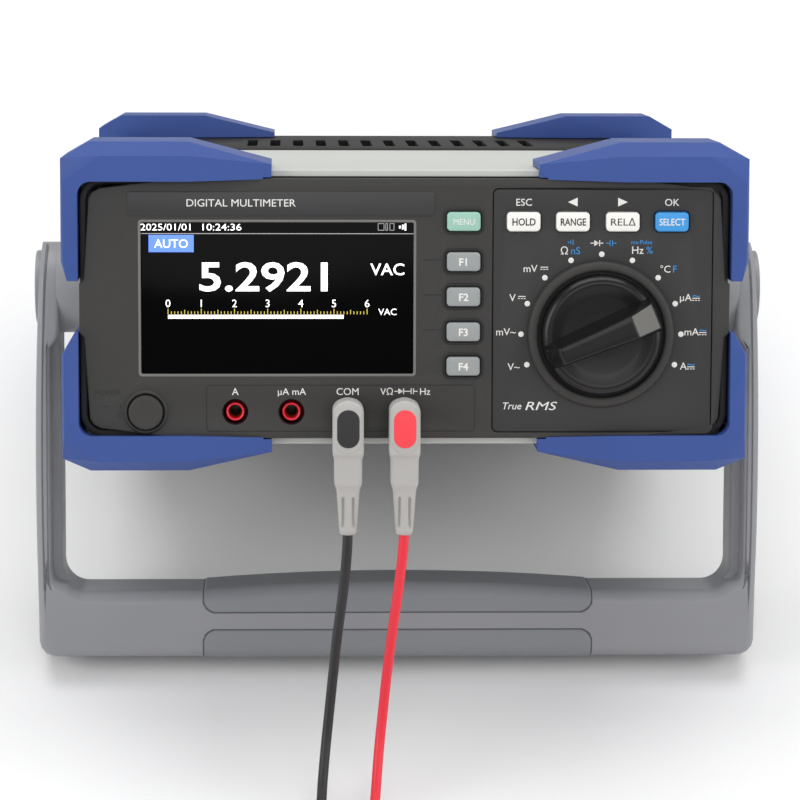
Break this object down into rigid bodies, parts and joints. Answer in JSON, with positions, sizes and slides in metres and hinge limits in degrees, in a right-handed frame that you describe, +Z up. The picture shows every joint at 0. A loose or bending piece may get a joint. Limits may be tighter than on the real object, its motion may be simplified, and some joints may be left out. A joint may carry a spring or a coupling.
{
  "type": "bench multimeter",
  "caption": "Bench multimeter tilted on its swung-down carrying handle, with corner guards, display window, rotary selector, keys, test sockets and two coiled test leads.",
  "frame": {"origin": "on the floor, under the middle of the instrument's bounding box, test leads not counted", "axes": "+X to the instrument's right seen from the front, +Y from the front panel to the rear, +Z up; the instrument leans back 23.6 degrees"},
  "size_m": [0.3324, 0.4482, 0.2112],
  "materials": {
    "bezel_charcoal": "fine moulded texture",
    "black_plastic": "fine moulded texture",
    "dial_black": "polished moulding with a pale pointer facet",
    "display_glass": "dark display window with white figures behind it",
    "display_steel": "pressed display frame",
    "shaft_steel": "turned",
    "transformer_steel": "laminated core with taped winding",
    "guard_blue": "satin rubber",
    "cover_silver": "smooth light grey paint",
    "case_black": "fine textured dark paint",
    "handle_grey": "fine moulded texture",
    "pad_grey": "soft touch",
    "key_ivory": "smooth with printed legend",
    "key_grey": "smooth with printed legend",
    "key_mint": "smooth with printed legend",
    "key_blue": "smooth with printed legend",
    "jack_red": "shiny moulded ring",
    "lead_grey": "soft moulded plug body with coloured inlay",
    "lead_black": "flexible silicone",
    "lead_red": "flexible silicone",
    "pin_brass": "nickel and brass spring pin",
    "board_green": "solder mask",
    "switch_grey": "moulded wafer"
  },
  "bodies": {
    "case": {"front_bezel": "bezel_charcoal", "control_plate": "bezel_charcoal", "dial_ring": "bezel_charcoal", "display_lens": "display_glass", "lcd_module": "display_steel", "rotary_switch": "switch_grey", "power_switch": "black_plastic", "rear_panel": "black_plastic", "mains_inlet": "black_plastic", "fuse_holder": "black_plastic", "left_pivot_boss": "black_plastic", "right_pivot_boss": "black_plastic", "amp_jack_shell": "black_plastic", "amp_jack_core": "jack_red", "milliamp_jack_shell": "black_plastic", "milliamp_jack_core": "jack_red", "common_jack_shell": "black_plastic", "common_jack_core": "black_plastic", "volt_jack_shell": "black_plastic", "volt_jack_core": "jack_red", "top_cover": "cover_silver", "bottom_cover": "cover_silver", "rear_case": "case_black", "front_upper_left_guard": "guard_blue", "front_upper_right_guard": "guard_blue", "front_lower_left_guard": "guard_blue", "front_lower_right_guard": "guard_blue", "rear_upper_left_guard": "guard_blue", "rear_upper_right_guard": "guard_blue", "rear_lower_left_guard": "guard_blue", "rear_lower_right_guard": "guard_blue", "main_board": "board_green", "transformer": "transformer_steel", "black_cord": "lead_black", "black_coil": "lead_black", "black_probe": "lead_black", "red_cord": "lead_red", "red_coil": "lead_red", "red_probe": "lead_red"},
    "handle": {"handle_frame": "handle_grey", "upper_grip_pad": "pad_grey", "lower_grip_pad": "pad_grey", "left_hub_cap": "handle_grey", "right_hub_cap": "handle_grey"},
    "dial": {"dial_knob": "dial_black", "switch_shaft": "shaft_steel"},
    "hold_key": {"hold_key": "key_ivory"},
    "range_key": {"range_key": "key_ivory"},
    "rel_key": {"rel_key": "key_ivory"},
    "select_key": {"select_key": "key_blue"},
    "menu_key": {"menu_key": "key_mint"},
    "f1_key": {"f1_key": "key_grey"},
    "f2_key": {"f2_key": "key_grey"},
    "f3_key": {"f3_key": "key_grey"},
    "f4_key": {"f4_key": "key_grey"},
    "power_button": {"power_button": "bezel_charcoal"},
    "black_plug": {"black_plug": "lead_grey", "black_plug_pin": "pin_brass"},
    "red_plug": {"red_plug": "lead_grey", "red_plug_pin": "pin_brass"}
  },
  "joints": [
    {"name": "handle_swing", "type": "hinge", "parent": "case", "child": "handle", "pos_m": [0, -0.05079, 0.12784], "axis": [-1, 0, 0], "range_deg": [-55, 26]},
    {"name": "dial_turn", "type": "hinge", "parent": "case", "child": "dial", "pos_m": [0.067, -0.13308, 0.1543], "axis": [0, 0.9164, -0.4004], "range_deg": [-180, 45]},
    {"name": "hold_press", "type": "slide", "parent": "case", "child": "hold_key", "axis": [0, 0.9164, -0.4004], "range_m": [0, 0.001], "stiffness_N_per_m": 600},
    {"name": "range_press", "type": "slide", "parent": "case", "child": "range_key", "axis": [0, 0.9164, -0.4004], "range_m": [0, 0.001], "stiffness_N_per_m": 600},
    {"name": "rel_press", "type": "slide", "parent": "case", "child": "rel_key", "axis": [0, 0.9164, -0.4004], "range_m": [0, 0.001], "stiffness_N_per_m": 600},
    {"name": "select_press", "type": "slide", "parent": "case", "child": "select_key", "axis": [0, 0.9164, -0.4004], "range_m": [0, 0.001], "stiffness_N_per_m": 600},
    {"name": "menu_press", "type": "slide", "parent": "case", "child": "menu_key", "axis": [0, 0.9164, -0.4004], "range_m": [0, 0.001], "stiffness_N_per_m": 600},
    {"name": "f1_press", "type": "slide", "parent": "case", "child": "f1_key", "axis": [0, 0.9164, -0.4004], "range_m": [0, 0.001], "stiffness_N_per_m": 600},
    {"name": "f2_press", "type": "slide", "parent": "case", "child": "f2_key", "axis": [0, 0.9164, -0.4004], "range_m": [0, 0.001], "stiffness_N_per_m": 600},
    {"name": "f3_press", "type": "slide", "parent": "case", "child": "f3_key", "axis": [0, 0.9164, -0.4004], "range_m": [0, 0.001], "stiffness_N_per_m": 600},
    {"name": "f4_press", "type": "slide", "parent": "case", "child": "f4_key", "axis": [0, 0.9164, -0.4004], "range_m": [0, 0.001], "stiffness_N_per_m": 600},
    {"name": "power_press", "type": "slide", "parent": "case", "child": "power_button", "axis": [0, 0.9164, -0.4004], "range_m": [0, 0.003], "stiffness_N_per_m": 600},
    {"name": "black_plug_pull", "type": "slide", "parent": "case", "child": "black_plug", "axis": [0, -0.9164, 0.4004], "range_m": [0, 0.022]},
    {"name": "red_plug_pull", "type": "slide", "parent": "case", "child": "red_plug", "axis": [0, -0.9164, 0.4004], "range_m": [0, 0.022]}
  ]
}
